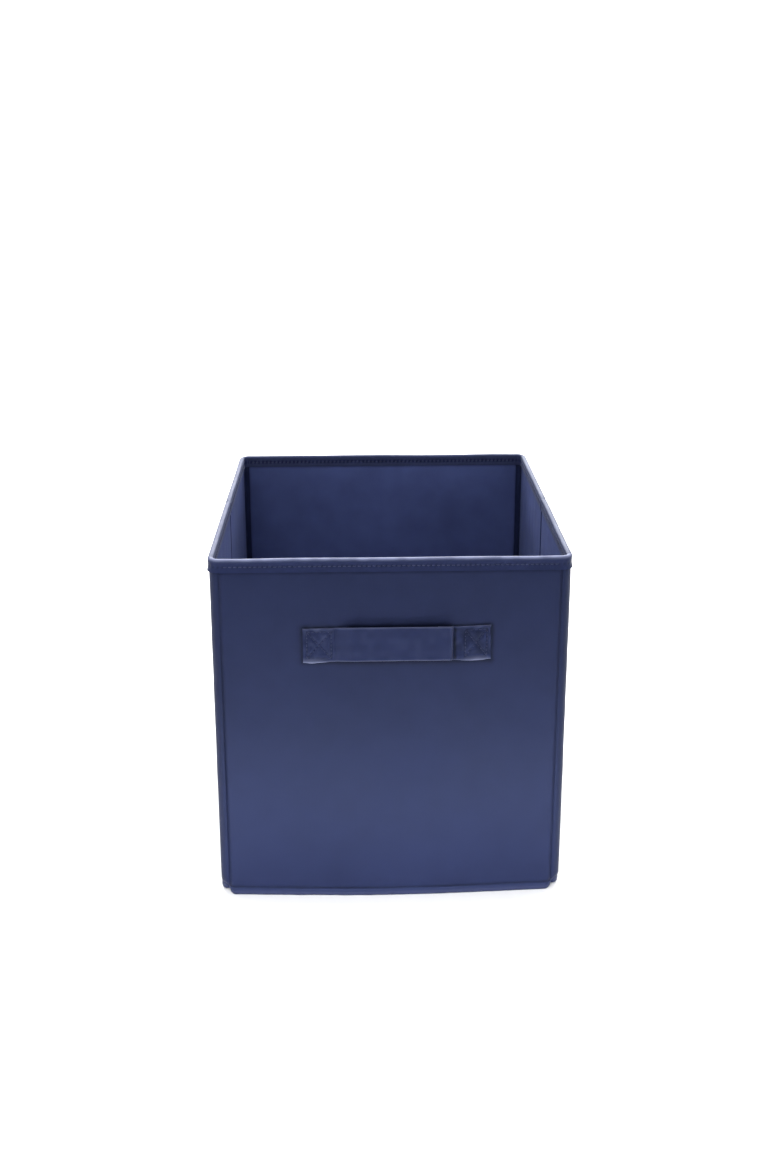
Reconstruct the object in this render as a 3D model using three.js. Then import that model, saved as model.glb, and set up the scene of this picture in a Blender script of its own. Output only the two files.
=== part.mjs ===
// Fabric storage bin: a fold-flat cube bin with boards sewn between an outer shell and a lining,
// a bound rim, a bottom cloth, a loose base insert and a strap handle on its front.
// Millimetres, +Z up. The origin is the centre of the base, and the front, with the handle, is at -Y.
import * as THREE from 'three';

// Driving dimensions
const WIDTH = 267;          // outside, along X, at the rim binding
const DEPTH = 262;          // outside, along Y, at the rim binding
const HEIGHT = 280;         // to the top of the rim binding

const CLOTH = 0.5;          // shell and lining
const BINDING = 0.6;        // rim binding tape
const BOARD = 1.8;          // stiffening board
const GAP = 0.1;            // between layers that lie on each other
const SEAM_GAP = 0.3;       // between pieces that meet end to end

const BINDING_DROP = 10;    // height of the binding's two legs
const STITCH_DROP = 7.5;    // from the rim down to the stitch row
const STITCH_SIZE = 0.8;    // height of the stitch row
const STITCH_PROUD = 0.25;  // thickness of the thread on the binding

const CORNER = 8;           // outer radius of the upright corners
const CREASE = 2;           // from the middle of a side to the edge of each half
const BOTTOM_CLOTH = 0.8;
const SEAM_TOP = 4.8;       // top of the rolled seam round the base
const WALL_BOTTOM = 5;      // where the walls start, clear above the base insert
const BOARD_INSET = 1;      // board's edge inside its cloth, top and bottom

const INSERT_PLAY = 1.5;    // base insert to the wall, each side
const INSERT_BOTTOM = 1.3;
const INSERT_BOARD = 2;
const INSERT_CORNER = 6;

const HANDLE_LEFT = -65;    // the strap's left end, along X
const HANDLE_RIGHT = 74;
const STRAP_TOP = 226;
const STRAP_WIDTH = 27;
const STRAP = 1.4;          // thickness of the folded strap
const LEFT_END = 24;        // length of the sewn stretch at each end
const RIGHT_END = 28;
const LEFT_RUN = 12;        // length of the slope up from the left end
const FINGER_GAP = 4.5;     // from the front shell to the back of the strap
const SLACK = 12;           // how far the strap doubles back in the slack fold at its right
const TUCK = 3;             // how far it runs on below the slack fold
const BOX_STITCH_INSET = 3; // from the strap's edges to the box stitch
const BOX_STITCH = 0.8;     // width of the stitched line
const CURVE_STEPS = 8;

// Depth of each layer under the wall's outermost plane
const shellOuter = BINDING + GAP;
const shellInner = shellOuter + CLOTH;
const boardOuter = shellInner + GAP;
const boardInner = boardOuter + BOARD;
const liningOuter = boardInner + GAP;
const liningInner = liningOuter + CLOTH;
const bindingInner = liningInner + GAP;
const wallThickness = bindingInner + BINDING;
const clothTop = HEIGHT - BINDING - GAP;

const materials = {
  shell: { color: 0x343b5d, roughness: 0.7 },
  lining: { color: 0x373f61, roughness: 0.75 },
  binding: { color: 0x2c3450, roughness: 0.65 },
  strap: { color: 0x333b5c, roughness: 0.7 },
  thread: { color: 0x2a3150, roughness: 0.6 },
  board: { color: 0x8d8578, roughness: 0.9 },
};

const group = new THREE.Group();

function addMesh(name, materialName, geometry) {
  const material = new THREE.MeshStandardMaterial({ metalness: 0, ...materials[materialName] });
  const mesh = new THREE.Mesh(geometry, material);
  mesh.name = name;
  group.add(mesh);
  return mesh;
}

// A block between two corners
function addBlock(name, materialName, low, high) {
  const size = high.map((value, axis) => value - low[axis]);
  const mesh = addMesh(name, materialName, new THREE.BoxGeometry(...size));
  mesh.position.set(...low.map((value, axis) => value + size[axis] / 2));
  return mesh;
}

// A flat outline in X and Y, standing from one height to another
function addUpright(name, materialName, outline, bottom, top) {
  const options = { depth: top - bottom, bevelEnabled: false, curveSegments: CURVE_STEPS };
  const mesh = addMesh(name, materialName, new THREE.ExtrudeGeometry(outline, options));
  mesh.position.z = bottom;
  return mesh;
}

// Walls: inward is the wall's direction into the bin, and from and to are its ends along its run
const front = {
  name: 'front', inward: [0, 1, 0], reach: DEPTH / 2, from: CORNER - WIDTH / 2, to: WIDTH / 2 - CORNER,
};
const back = {
  name: 'back', inward: [0, -1, 0], reach: DEPTH / 2, from: front.from, to: front.to,
};
const sides = [['left', [1, 0, 0]], ['right', [-1, 0, 0]]].flatMap(([side, inward]) => [
  { name: `${side}_front`, inward, reach: WIDTH / 2, from: CORNER - DEPTH / 2, to: -CREASE },
  { name: `${side}_rear`, inward, reach: WIDTH / 2, from: CREASE, to: DEPTH / 2 - CORNER },
]);

// A profile of depth under the wall's outer plane and height, run along the wall
function addAlongWall(name, materialName, wall, profile) {
  const inward = new THREE.Vector3(...wall.inward);
  const up = new THREE.Vector3(0, 0, 1);
  const along = inward.clone().cross(up);
  const forwards = along.x + along.y > 0;
  const length = wall.to - wall.from - 2 * SEAM_GAP;
  const start = forwards ? wall.from + SEAM_GAP : -wall.to + SEAM_GAP;
  const geometry = new THREE.ExtrudeGeometry(profile, { depth: length, bevelEnabled: false });
  const mesh = addMesh(name, materialName, geometry);
  mesh.setRotationFromMatrix(new THREE.Matrix4().makeBasis(inward, up, along));
  mesh.position.copy(inward).multiplyScalar(-wall.reach).addScaledVector(along, start);
  return mesh;
}

function polygon(points) {
  return new THREE.Shape(points.map(([x, y]) => new THREE.Vector2(x, y)));
}

function rectangle(left, bottom, right, top) {
  return polygon([[left, bottom], [right, bottom], [right, top], [left, top]]);
}

// The binding folds over the top of the wall, with a leg down each face
const bindingProfile = polygon([
  [0, HEIGHT - BINDING_DROP], [BINDING, HEIGHT - BINDING_DROP], [BINDING, HEIGHT - BINDING],
  [bindingInner, HEIGHT - BINDING], [bindingInner, HEIGHT - BINDING_DROP],
  [wallThickness, HEIGHT - BINDING_DROP], [wallThickness, HEIGHT], [0, HEIGHT],
]);

function addWall(wall) {
  const { name } = wall;
  const boardBottom = WALL_BOTTOM + BOARD_INSET;
  const boardTop = clothTop - BOARD_INSET;
  const stitchTop = HEIGHT - STITCH_DROP;
  const stitchInner = -GAP / 2;
  addAlongWall(`${name}_board`, 'board', wall, rectangle(boardOuter, boardBottom, boardInner, boardTop));
  addAlongWall(`${name}_shell`, 'shell', wall, rectangle(shellOuter, WALL_BOTTOM, shellInner, clothTop));
  addAlongWall(`${name}_lining`, 'lining', wall, rectangle(liningOuter, WALL_BOTTOM, liningInner, clothTop));
  addAlongWall(`${name}_binding`, 'binding', wall, bindingProfile);
  addAlongWall(`${name}_rim_stitch`, 'thread', wall,
    rectangle(stitchInner - STITCH_PROUD, stitchTop - STITCH_SIZE, stitchInner, stitchTop));
}

// A quarter ring round an upright corner, between two depths under the outer plane
function cornerOutline(outerDepth, innerDepth) {
  const outline = new THREE.Shape();
  outline.absarc(0, 0, CORNER - outerDepth, Math.PI, 1.5 * Math.PI, false);
  outline.absarc(0, 0, CORNER - innerDepth, 1.5 * Math.PI, Math.PI, true);
  outline.closePath();
  return outline;
}

// The boardless fabric at a corner, and the length of binding over it
function addCorner(name, alongX, alongY) {
  const quarterTurns = { '-1,-1': 0, '1,-1': 1, '1,1': 2, '-1,1': 3 }[`${alongX},${alongY}`];
  const bindingBottom = HEIGHT - BINDING_DROP;
  const strips = [
    addUpright(`${name}_fabric`, 'shell', cornerOutline(shellOuter, liningInner),
      WALL_BOTTOM, bindingBottom - SEAM_GAP),
    addUpright(`${name}_binding`, 'binding', cornerOutline(0, wallThickness), bindingBottom, HEIGHT),
  ];
  for (const strip of strips) {
    strip.position.x = alongX * (WIDTH / 2 - CORNER);
    strip.position.y = alongY * (DEPTH / 2 - CORNER);
    strip.rotation.z = quarterTurns * Math.PI / 2;
  }
}

// The boardless fabric at the middle of a side, and the length of binding over it
function addCrease(side, inward) {
  const wall = { inward, reach: WIDTH / 2, from: -CREASE, to: CREASE };
  const bindingBottom = HEIGHT - BINDING_DROP;
  addAlongWall(`${side}_crease_fabric`, 'shell', wall,
    rectangle(shellOuter, WALL_BOTTOM, liningInner, bindingBottom - SEAM_GAP));
  addAlongWall(`${side}_crease_binding`, 'binding', wall,
    rectangle(0, bindingBottom, wallThickness, HEIGHT));
}

// A rectangle with round corners, centred on the origin
function roundedRectangle(width, depth, radius) {
  const [x, y] = [width / 2 - radius, depth / 2 - radius];
  const outline = new THREE.Shape();
  outline.absarc(x, y, radius, 0, 0.5 * Math.PI, false);
  outline.absarc(-x, y, radius, 0.5 * Math.PI, Math.PI, false);
  outline.absarc(-x, -y, radius, Math.PI, 1.5 * Math.PI, false);
  outline.absarc(x, -y, radius, 1.5 * Math.PI, 2 * Math.PI, false);
  outline.closePath();
  return outline;
}

// A rounded rectangle that lies a given depth under the walls' outer planes
function planOutline(depth) {
  return roundedRectangle(WIDTH - 2 * depth, DEPTH - 2 * depth, CORNER - depth);
}

function addBottom() {
  addUpright('bottom_fabric', 'shell', planOutline(shellOuter), 0, BOTTOM_CLOTH);
  const ring = planOutline(shellOuter);
  ring.holes.push(planOutline(liningInner));
  addUpright('bottom_seam', 'binding', ring, BOTTOM_CLOTH + GAP, SEAM_TOP);
}

// The loose base insert: a board between two cover cloths
function addInsert() {
  const inset = wallThickness + INSERT_PLAY;
  const outline = roundedRectangle(WIDTH - 2 * inset, DEPTH - 2 * inset, INSERT_CORNER);
  const boardBottom = INSERT_BOTTOM + CLOTH + GAP;
  const boardTop = boardBottom + INSERT_BOARD;
  addUpright('insert_cover_bottom', 'lining', outline, INSERT_BOTTOM, INSERT_BOTTOM + CLOTH);
  addUpright('insert_board', 'board', outline, boardBottom, boardTop - GAP);
  addUpright('insert_cover_top', 'lining', outline, boardTop, boardTop + CLOTH);
}

// A box stitch: a square of thread with two diagonals, as a flat outline with four openings
function boxStitchOutline(width, height) {
  const outline = rectangle(-width / 2, -height / 2, width / 2, height / 2);
  const inner = [width / 2 - BOX_STITCH, height / 2 - BOX_STITCH];
  const corners = [[-1, -1], [1, -1], [1, 1], [-1, 1]].map(([x, y]) => [x * inner[0], y * inner[1]]);
  const shrink = 0.75;
  corners.forEach((corner, index) => {
    const next = corners[(index + 1) % corners.length];
    const middle = [(corner[0] + next[0]) / 2, (corner[1] + next[1]) / 2];
    const along = (point) => point.map((value, axis) => middle[axis] + (value - middle[axis]) * shrink);
    const apex = middle.map((value) => value * (1 - shrink));
    outline.holes.push(polygon([along(corner), along(next), apex]));
  });
  return outline;
}

function addBoxStitch(name, left, right, outerY) {
  const outline = boxStitchOutline(right - left - 2 * BOX_STITCH_INSET, STRAP_WIDTH - 2 * BOX_STITCH_INSET);
  const geometry = new THREE.ExtrudeGeometry(outline, { depth: STITCH_PROUD, bevelEnabled: false });
  const mesh = addMesh(name, 'thread', geometry);
  mesh.rotation.x = Math.PI / 2;
  mesh.position.set((left + right) / 2, outerY - GAP / 2, STRAP_TOP - STRAP_WIDTH / 2);
}

// The strap is sewn flat at its two ends and stands off the front panel between them. Its slack is
// folded in an S behind its right end, and opens when the handle is pulled.
function addHandle() {
  const bottom = STRAP_TOP - STRAP_WIDTH;
  const endBack = shellOuter - GAP - DEPTH / 2;
  const endFront = endBack - STRAP;
  const gripBack = shellOuter - FINGER_GAP - DEPTH / 2;
  const gripFront = gripBack - STRAP;
  const leftSewn = HANDLE_LEFT + LEFT_END;
  const gripLeft = leftSewn + LEFT_RUN;
  const foldRight = HANDLE_RIGHT - RIGHT_END;

  // The two bends of the S: the outer one joins the strap's front layer to its middle layer
  const middle = (gripBack + endFront) / 2;
  const outerBend = (middle + STRAP / 2 - gripFront) / 2;
  const innerBend = outerBend - STRAP;
  const frontBendX = foldRight - outerBend;
  const backBendX = frontBendX - SLACK + 2 * outerBend;
  const frontBendY = gripFront + outerBend;
  const backBendY = middle - STRAP / 2 + outerBend;
  const tuckX = backBendX + TUCK;

  addBlock('handle_left_end', 'strap', [HANDLE_LEFT, endFront, bottom], [leftSewn, endBack, STRAP_TOP]);
  addBlock('handle_right_end', 'strap',
    [tuckX + SEAM_GAP, endFront, bottom], [HANDLE_RIGHT, endBack, STRAP_TOP]);
  addBlock('handle_grip', 'strap',
    [gripLeft, gripFront, bottom], [frontBendX - SEAM_GAP, gripBack, STRAP_TOP]);

  const [runStart, runEnd] = [leftSewn + SEAM_GAP, gripLeft - SEAM_GAP];
  const run = polygon([[runStart, endBack], [runStart, endFront], [runEnd, gripFront], [runEnd, gripBack]]);
  addUpright('handle_left_run', 'strap', run, bottom, STRAP_TOP);

  const quarter = Math.PI / 2;
  const fold = new THREE.Shape();
  fold.absarc(frontBendX, frontBendY, outerBend, -quarter, quarter, false);
  fold.absarc(backBendX, backBendY, innerBend, -quarter, -3 * quarter, true);
  fold.lineTo(tuckX, endFront);
  fold.lineTo(tuckX, endBack);
  fold.absarc(backBendX, backBendY, outerBend, quarter, 3 * quarter, false);
  fold.absarc(frontBendX, frontBendY, innerBend, quarter, -quarter, true);
  fold.closePath();
  addUpright('handle_slack_fold', 'strap', fold, bottom, STRAP_TOP);

  addBoxStitch('handle_left_stitch', HANDLE_LEFT, leftSewn, endFront);
  addBoxStitch('handle_right_stitch', foldRight, HANDLE_RIGHT, endFront);
}

[front, back, ...sides].forEach(addWall);
addCorner('front_left_corner', -1, -1);
addCorner('front_right_corner', 1, -1);
addCorner('back_right_corner', 1, 1);
addCorner('back_left_corner', -1, 1);
addCrease('left', [1, 0, 0]);
addCrease('right', [-1, 0, 0]);
addBottom();
addInsert();
addHandle();

export default group;
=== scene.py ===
"""Looks of a fold-flat fabric storage bin: boarded walls, bound rim, base insert and strap handle.

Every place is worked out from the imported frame, in metres. A place on the bin's skin is given by
its distance round the outline, its height, and its depth under the walls' outermost plane.
"""
import math

import bpy
import numpy as np
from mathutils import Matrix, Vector


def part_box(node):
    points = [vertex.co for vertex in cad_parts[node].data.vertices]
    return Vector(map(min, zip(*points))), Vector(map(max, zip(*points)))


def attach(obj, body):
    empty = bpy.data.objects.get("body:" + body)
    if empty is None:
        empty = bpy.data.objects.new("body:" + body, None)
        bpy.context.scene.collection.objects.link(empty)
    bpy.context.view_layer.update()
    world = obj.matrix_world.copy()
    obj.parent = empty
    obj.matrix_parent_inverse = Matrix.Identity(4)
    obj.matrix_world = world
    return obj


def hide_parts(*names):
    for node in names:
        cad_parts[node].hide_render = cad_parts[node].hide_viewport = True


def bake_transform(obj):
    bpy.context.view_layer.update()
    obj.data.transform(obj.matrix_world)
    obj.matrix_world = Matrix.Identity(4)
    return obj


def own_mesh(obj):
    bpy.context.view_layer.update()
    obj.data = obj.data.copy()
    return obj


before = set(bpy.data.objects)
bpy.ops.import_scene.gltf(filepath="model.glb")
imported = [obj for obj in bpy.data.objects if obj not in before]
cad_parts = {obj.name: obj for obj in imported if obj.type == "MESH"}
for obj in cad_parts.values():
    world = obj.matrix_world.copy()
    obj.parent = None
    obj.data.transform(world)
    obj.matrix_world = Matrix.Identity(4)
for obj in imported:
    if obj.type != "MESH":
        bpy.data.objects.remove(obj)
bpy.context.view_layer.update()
MM = 0.001

# ---------------------------------------------------------------- sizes, from the frame
HALF_WIDTH = -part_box("left_front_binding")[0].x
HALF_DEPTH = -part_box("front_binding")[0].y
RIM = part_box("front_binding")[1].z
BINDING_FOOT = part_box("front_binding")[0].z
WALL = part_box("front_binding")[1].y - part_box("front_binding")[0].y
CORNER = HALF_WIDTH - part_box("front_binding")[1].x
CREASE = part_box("left_rear_binding")[0].y


def depth_of(node, face):
    """Depth of a front layer's outer (0) or inner (1) face under the outermost plane."""
    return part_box(node)[face].y + HALF_DEPTH


SHELL_OUT, SHELL_IN = depth_of("front_shell", 0), depth_of("front_shell", 1)
BOARD_OUT, BOARD_IN = depth_of("front_board", 0), depth_of("front_board", 1)
LINING_OUT, LINING_IN = depth_of("front_lining", 0), depth_of("front_lining", 1)
LINING_FOOT, SHELL_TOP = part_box("front_lining")[0].z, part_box("front_shell")[1].z
BOARD_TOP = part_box("front_board")[1].z

STRAP_LOW, STRAP_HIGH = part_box("handle_grip")[0].z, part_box("handle_grip")[1].z
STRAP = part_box("handle_grip")[1].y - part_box("handle_grip")[0].y
GRIP_Y = (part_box("handle_grip")[0].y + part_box("handle_grip")[1].y) / 2
SEWN_Y = (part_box("handle_left_end")[0].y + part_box("handle_left_end")[1].y) / 2
SEWN_LEFT = (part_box("handle_left_end")[0].x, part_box("handle_left_end")[1].x)
SEWN_RIGHT = (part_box("handle_slack_fold")[1].x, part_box("handle_right_end")[1].x)
GRIP_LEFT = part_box("handle_grip")[0].x

# ---------------------------------------------------------------- detail sizes
GRID = 2.6 * MM             # spacing of the points on the walls' cloth
FINE = 0.9 * MM             # and along the binding
BINDING_TAPE = 0.6 * MM
BINDING_ROUND = 1.7 * MM    # height of the rounded top of the binding
RIM_STITCH_Z = RIM - 5.6 * MM
STITCH_PITCH = 3.6 * MM
STITCH_LENGTH = 2.9 * MM
THREAD = 0.75 * MM
BINDING_LIP = 0.45 * MM     # how far the binding's foot stands off the shell
RIM_WEAR_AND_HIGHLIGHT_SIDE = 0.35          # how pale the rim's top is at the sides, scuffed and with a painted highlight, where 1 is at the front
RIM_WEAR_AND_HIGHLIGHT_BACK = 0.2           # at the back
RUBBED_INSIDE = 0.10        # and on its inner leg
HEM_TOP = 6.9 * MM
SHELL_FOOT = HEM_TOP + 0.1 * MM
BOARD_FOOT = SHELL_FOOT + 1.2 * MM
BASE_BOW = 4.0 * MM         # how far the front's lower edge bellies out
BACK_BOW = 1.2 * MM
CORNER_TUCK = 7.5 * MM      # how far the corners pull in at the base
CORNER_LIFT = 2.2 * MM      # and how far they rise off the floor
HINGE_GROOVE = 0.85 * MM    # groove where a board ends beside a corner

# ---------------------------------------------------------------- outline of the bin in plan
FLAT_X = 2 * (HALF_WIDTH - CORNER)
FLAT_Y = 2 * (HALF_DEPTH - CORNER)
TURN = CORNER * math.pi / 2
SIDE_LENGTHS = [FLAT_X, FLAT_Y, FLAT_X, FLAT_Y]
SIDE_STARTS = [0.0]
for side_length in SIDE_LENGTHS:
    SIDE_STARTS.append(SIDE_STARTS[-1] + side_length + TURN)
PERIMETER = SIDE_STARTS.pop()
ALONG = np.array([(1, 0), (0, 1), (-1, 0), (0, -1)], float)
OUTWARD = np.array([(0, -1), (1, 0), (0, 1), (-1, 0)], float)
CORNER_CENTRES = np.array([(1, -1), (1, 1), (-1, 1), (-1, -1)], float) * (
    HALF_WIDTH - CORNER, HALF_DEPTH - CORNER)


def smooth(x):
    """0 below 0, 1 above 1, and smooth between."""
    x = np.clip(x, 0, 1)
    return x * x * (3 - 2 * x)


def plan(u):
    """Points and outward normals of the outline at distances u round it, and how far into which side."""
    u = np.asarray(u, float) % PERIMETER
    side = np.clip(np.searchsorted(SIDE_STARTS, u, side="right") - 1, 0, 3)
    into = u - np.array(SIDE_STARTS)[side]
    length = np.array(SIDE_LENGTHS)[side]
    angle = np.clip((into - length) / CORNER, 0, math.pi / 2)[..., None]
    normal = OUTWARD[side] * np.cos(angle) + ALONG[side] * np.sin(angle)
    back = np.clip(length - into, 0, None)[..., None]
    point = CORNER_CENTRES[side] + CORNER * normal - ALONG[side] * back
    return point, normal, side, into / length


def ripple(seed, across, up, size, stretch=1.0):
    """Smooth noise from -1 to 1, with features of about that size, stretched upwards."""
    cells = 64
    table = np.random.default_rng(seed).uniform(-1, 1, (cells, cells))
    x, y = across / size, up / (size * stretch)
    i, j = np.floor(x).astype(int), np.floor(y).astype(int)
    fx, fy = ((f * f * f * (f * (f * 6 - 15) + 10)) for f in (x - i, y - j))

    def at(di, dj):
        return table[(i + di) % cells, (j + dj) % cells]

    low = at(0, 0) * (1 - fx) + at(1, 0) * fx
    high = at(0, 1) * (1 - fx) + at(1, 1) * fx
    return low * (1 - fy) + high * fy


def along_side(u):
    """Which side of the outline u is on, how far along it, and how long the side is up to its corner."""
    _, _, side, share = plan(u)
    length = np.array(SIDE_LENGTHS)[side]
    return side, share * length, length


def edge_distance(u):
    """Distance along the outline to the nearest end of a boarded panel."""
    side, into, length = along_side(u)
    near = np.abs(np.minimum(into, length - into))
    creased = np.isin(side, (1, 3))
    return np.where(creased, np.minimum(near, np.abs(np.abs(into - length / 2) - CREASE)), near)


def at_crease(u):
    """1 at the middle of a side wall, falling to 0 at the edges of its crease strip."""
    side, into, length = along_side(u)
    away = np.abs(into - length / 2)
    return np.where(np.isin(side, (1, 3)), smooth(1 - away / CREASE), 0)


def in_corner(u):
    """1 in the middle of a corner's turn, falling to 0 at its ends."""
    _, into, length = along_side(u)
    return np.sin(math.pi * np.clip((into - length) / TURN, 0, 1))


def near_corner(u):
    """1 in the middle of a corner's turn, falling to 0 a little way along the walls beside it."""
    _, into, length = along_side(u)
    away = np.minimum(np.abs(into - length - TURN / 2), np.abs(into + TURN / 2))
    return smooth(1 - away / (TURN * 0.8))


def corner_lift(u, z):
    return CORNER_LIFT * near_corner(u) * smooth(1 - z / (16 * MM))


def bow(share):
    """Bow of a wall's lower edge from 0 at its ends to 1 in its middle."""
    return np.sin(math.pi * np.clip(share, 0, 1)) ** 1.3


def wall_wave(u, z):
    """Outward shift of the whole wall: its lower edge bellies out, and its corners tuck in at the base."""
    _, _, side, share = plan(u)
    amount = np.array([BASE_BOW, 0, BACK_BOW, 0])[side]
    belly = amount * bow(share) * (0.25 + 0.75 * smooth(1 - z / (RIM * 0.6))) * smooth((RIM - z) / 0.06)
    tuck = CORNER_TUCK * near_corner(u) * smooth(1 - z / (12 * MM))
    return belly - tuck


def rim_wave(u):
    """Rise and fall of the rim along its length."""
    wave = 0.35 * MM * ripple(11, u, u * 0, 60 * MM) * smooth(edge_distance(u) / (20 * MM))
    return wave - 0.5 * MM * at_crease(u)


def held(u, z):
    """0 where the cloth is held down, at the ends of a panel and under the hems, and 1 in its middle."""
    return (smooth(edge_distance(u) / (16 * MM)) * smooth((BINDING_FOOT - z) / (10 * MM))
            * smooth((z - SHELL_FOOT) / (12 * MM)))


def shell_relief(u, z):
    """Outward relief of the shell: soft swells, small blotches, and puckers beside the seams."""
    swell = 0.48 * ripple(21, u, z, 58 * MM) + 0.12 * ripple(22, u, z, 20 * MM)
    fibre_pull = 0.035 * ripple(23, u, z, 7 * MM, 2.2)
    below_rim = smooth(1 - (BINDING_FOOT - z) / (16 * MM)) * smooth((BINDING_FOOT - z) / (1.5 * MM))
    above_hem = smooth(1 - (z - SHELL_FOOT) / (14 * MM)) * smooth((z - SHELL_FOOT) / MM)
    pucker = 0.10 * ripple(24, u, z, 8 * MM, 3) * (below_rim + 1.3 * above_hem)
    pucker = pucker * smooth(edge_distance(u) / (6 * MM))
    under_lip = -0.3 * np.exp(-((BINDING_FOOT - z) / (1.6 * MM)) ** 2)
    above_seam = -0.35 * np.exp(-((z - SHELL_FOOT) / (1.3 * MM)) ** 2)
    return MM * ((0.16 + swell + fibre_pull) * held(u, z) + pucker + under_lip + above_seam)


def lining_relief(u, z):
    """Inward relief of the lining, which is slacker than the shell."""
    swell = 0.26 * ripple(31, u, z, 45 * MM) + 0.15 * ripple(32, u, z, 15 * MM, 1.6)
    crinkle = 0.15 * ripple(33, u, z, 6 * MM, 2.0) * (0.6 + 0.6 * ripple(34, u, z, 40 * MM))
    return MM * (0.22 + swell + crinkle) * held(u, z)


def hinge_groove(u):
    """Depth of the groove beside the boards' ends and down the creases."""
    _, into, length = along_side(u)
    beside = np.minimum(np.minimum(into, np.abs(into - length)), np.abs(into - length - TURN))
    return HINGE_GROOVE * np.exp(-(beside / (1.1 * MM)) ** 2)


def skin(u, z, depth, out=0.0, lift=0.0):
    """Points of the bin's skin: out is a further shift outwards, and lift one upwards."""
    u, z, depth, out, lift = np.broadcast_arrays(u, z, depth, out, lift)
    point, normal, _, _ = plan(u)
    shift = (wall_wave(u, z) + out - depth)[..., None]
    height = z + lift + corner_lift(u, z)
    return np.concatenate([point + normal * shift, height[..., None]], axis=-1)


# ---------------------------------------------------------------- mesh making
def new_object(name, data):
    made = bpy.data.objects.new(name, data)
    bpy.context.scene.collection.objects.link(made)
    return made


def new_mesh(name, points, faces, places, sharp_angle=50, pressed=None):
    """A mesh object whose UV map, cloth, holds each point's place on its cloth in metres.

    Its pressed attribute is above 0 where the cloth is paler, scuffed at a fold and with painted highlights
    on folds and edges, and below 0 where painted shade darkens it in grooves, seams and beside the strap.
    """
    mesh = bpy.data.meshes.new(name)
    mesh.from_pydata(np.asarray(points, float).tolist(), [], faces)
    mesh.validate()
    layer = mesh.uv_layers.new(name="cloth")
    corners = np.zeros(len(mesh.loops), int)
    mesh.loops.foreach_get("vertex_index", corners)
    layer.data.foreach_set("uv", np.asarray(places, np.float32)[corners].ravel())
    if pressed is not None:
        wear_and_painted_light = mesh.attributes.new("pressed", "FLOAT", "POINT")
        wear_and_painted_light.data.foreach_set("value", np.asarray(pressed, np.float32).ravel())
    mesh.polygons.foreach_set("use_smooth", [True] * len(mesh.polygons))
    mesh.set_sharp_from_angle(angle=math.radians(sharp_angle))
    return new_object(name, mesh)


def enclosed_volume(points, faces):
    """Six times the volume that quads enclose: positive if they face outwards."""
    quads = points[np.array(faces)]
    first, second = quads[:, :3], quads[:, [0, 2, 3]]
    return sum((t[:, 0] * np.cross(t[:, 1], t[:, 2])).sum() for t in (first, second))


def solid_between(name, outer, inner, places, ring=False, sharp_angle=50, pressed=None):
    """A closed piece between two grids of points of the same size; ring joins its last row to its first."""
    rows, columns = outer.shape[:2]
    points = np.concatenate([outer.reshape(-1, 3), inner.reshape(-1, 3)])
    inner_start = rows * columns

    def corner(row, column, layer):
        return layer * inner_start + (row % rows) * columns + column

    faces = []
    for row in range(rows if ring else rows - 1):
        for column in range(columns - 1):
            a, b = corner(row, column, 0), corner(row + 1, column, 0)
            faces.append((a, b, b + 1, a + 1))
            faces.append((inner_start + a, inner_start + a + 1, inner_start + b + 1, inner_start + b))
        for column, flip in ((0, False), (columns - 1, True)):
            side = (corner(row, column, 0), corner(row, column, 1),
                    corner(row + 1, column, 1), corner(row + 1, column, 0))
            faces.append(side[::-1] if flip else side)
    if not ring:
        for row, flip in ((0, True), (rows - 1, False)):
            for column in range(columns - 1):
                side = (corner(row, column, 0), corner(row, column, 1),
                        corner(row, column + 1, 1), corner(row, column + 1, 0))
                faces.append(side[::-1] if flip else side)
    if enclosed_volume(points, faces) < 0:
        faces = [face[::-1] for face in faces]
    flat = np.asarray(places).reshape(-1, 2)
    if pressed is not None:
        pressed = np.tile(np.broadcast_to(pressed, (rows, columns)).ravel(), 2)
    return new_mesh(name, points, faces, np.concatenate([flat, flat]), sharp_angle, pressed)


def spaced(start, end, step):
    """Evenly spaced numbers, about step apart."""
    return np.linspace(start, end, max(2, round(abs(end - start) / step) + 1))


def spaced_about(start, end, step, places, reach=3 * MM, fine=0.7 * MM):
    """Numbers from start to end, step apart, and closer together near some places."""
    coarse = spaced(start, end, step)
    far = np.min([np.abs(coarse - place) for place in places], axis=0) > reach + fine / 2
    near = [spaced(max(start, place - reach), min(end, place + reach), fine) for place in places]
    return np.sort(np.concatenate([coarse[far], *near]))


def stitches(name, starts, ends, normals, radius=THREAD / 2):
    """Threads lying on a surface: each is a short bar that dips in at both ends."""
    shares = np.array([0, 0.12, 0.35, 0.65, 0.88, 1])
    sizes = np.array([0.35, 0.85, 1, 1, 0.85, 0.35])
    lifts = np.array([-0.9, 0.15, 0.6, 0.6, 0.15, -0.9])
    sides = 6
    around = np.linspace(0, 2 * math.pi, sides, endpoint=False)
    points, faces, places = [], [], []
    for start, end, normal in zip(starts, ends, normals):
        along = end - start
        across = np.cross(normal, along / np.linalg.norm(along))
        base = len(points)
        for share, size, lift in zip(shares, sizes, lifts):
            middle = start + along * share + normal * radius * lift
            for angle in around:
                offset = across * math.cos(angle) + normal * math.sin(angle)
                points.append(middle + offset * radius * size)
                places.append((share * np.linalg.norm(along), angle * radius))
        for ring in range(len(shares) - 1):
            for k in range(sides):
                a, b = base + ring * sides + k, base + ring * sides + (k + 1) % sides
                faces.append((a, b, b + sides, a + sides))
        last = base + (len(shares) - 1) * sides
        faces.append(tuple(range(base, base + sides))[::-1])
        faces.append(tuple(range(last, last + sides)))
    return new_mesh(name, points, faces, places, 80)


# ---------------------------------------------------------------- materials
def add_node(tree, kind, inputs=None, **settings):
    made = tree.nodes.new(kind)
    for key, value in settings.items():
        setattr(made, key, value)
    for key, value in (inputs or {}).items():
        usable = made.inputs[key] if isinstance(key, int) else next(
            socket for socket in made.inputs if socket.name == key and socket.enabled)
        if isinstance(value, bpy.types.NodeSocket):
            tree.links.new(value, usable)
        else:
            usable.default_value = value
    return made


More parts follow.
